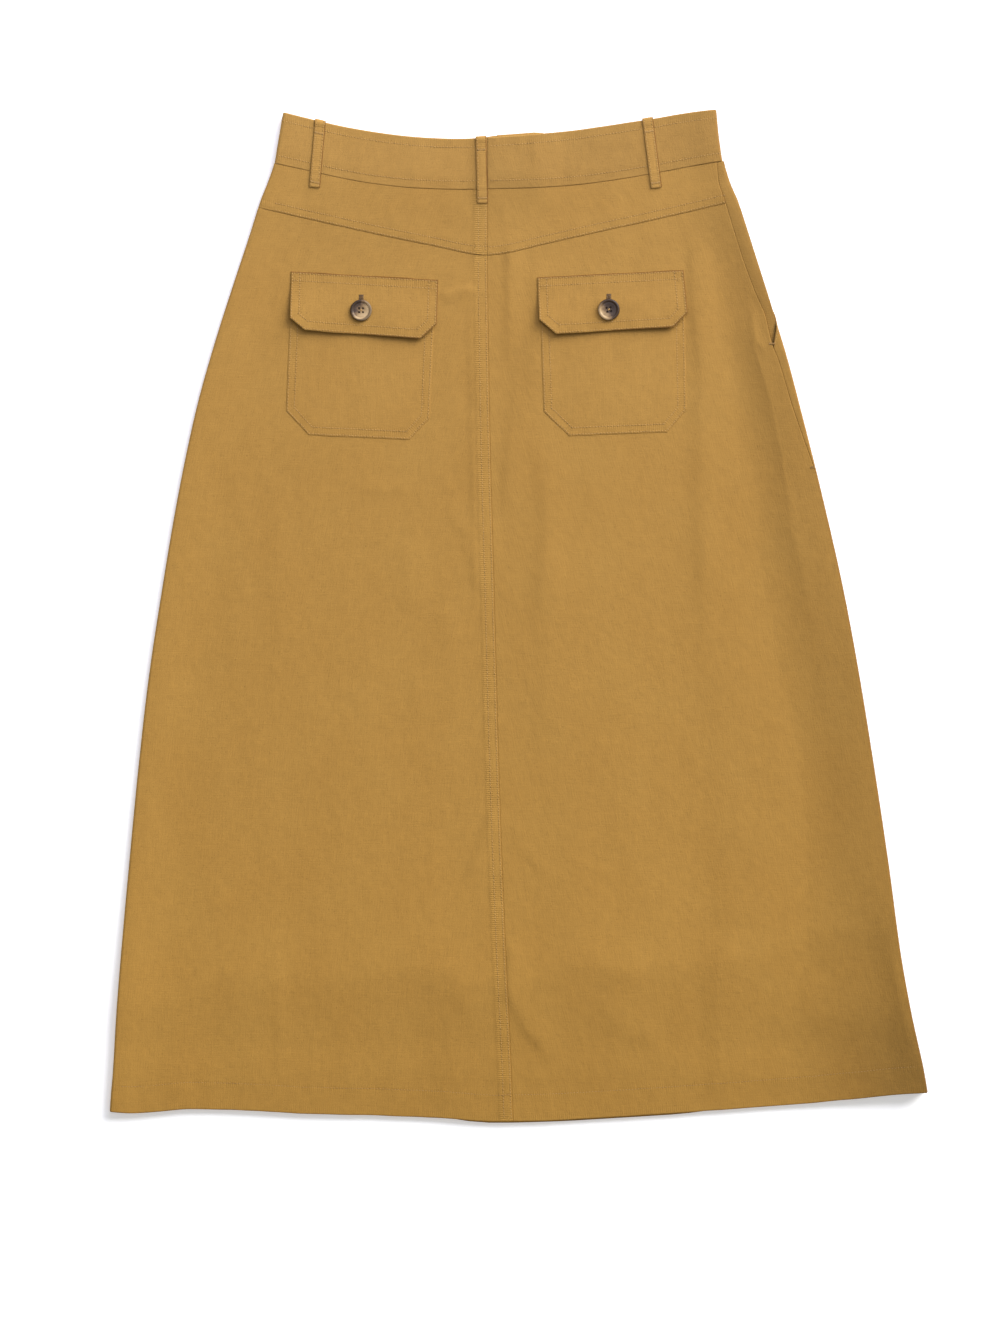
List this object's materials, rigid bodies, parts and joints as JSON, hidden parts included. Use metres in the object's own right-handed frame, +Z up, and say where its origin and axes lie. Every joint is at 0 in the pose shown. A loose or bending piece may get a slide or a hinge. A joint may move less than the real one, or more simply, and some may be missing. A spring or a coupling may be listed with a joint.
{
  "type": "a-line midi skirt",
  "caption": "Cotton twill a-line midi skirt laid flat with its back up: waistband with belt loops, pointed yoke, flapped patch pockets and slanted front pockets.",
  "frame": {"origin": "middle of the laid-flat skirt's box, on the surface it lies on", "axes": "+Y from hem to waist, +X towards the wearer's right, +Z up out of the back of the skirt"},
  "size_m": [0.6803, 0.8429, 0.0127],
  "materials": {
    "twill": "ochre cotton twill, matt, tone-on-tone stitching",
    "button": "mottled brown horn effect, dark rim, satin"
  },
  "bodies": {
    "root": {"back_panel_left": "twill", "back_panel_right": "twill", "back_yoke_left": "twill", "back_yoke_right": "twill", "back_waistband_left": "twill", "back_waistband_right": "twill", "front_waistband_left": "twill", "front_waistband_right": "twill", "front_panel_left": "twill", "front_panel_right": "twill", "front_pocket_facing_left": "twill", "front_pocket_facing_right": "twill", "back_pocket_left": "twill", "back_pocket_right": "twill", "back_flap_left": "twill", "back_flap_right": "twill", "belt_loop_back_left": "twill", "belt_loop_back_centre": "twill", "belt_loop_back_right": "twill", "belt_loop_front_left": "twill", "belt_loop_front_right": "twill", "back_button_left": "button", "back_button_right": "button", "front_button": "button"}
  },
  "joints": []
}
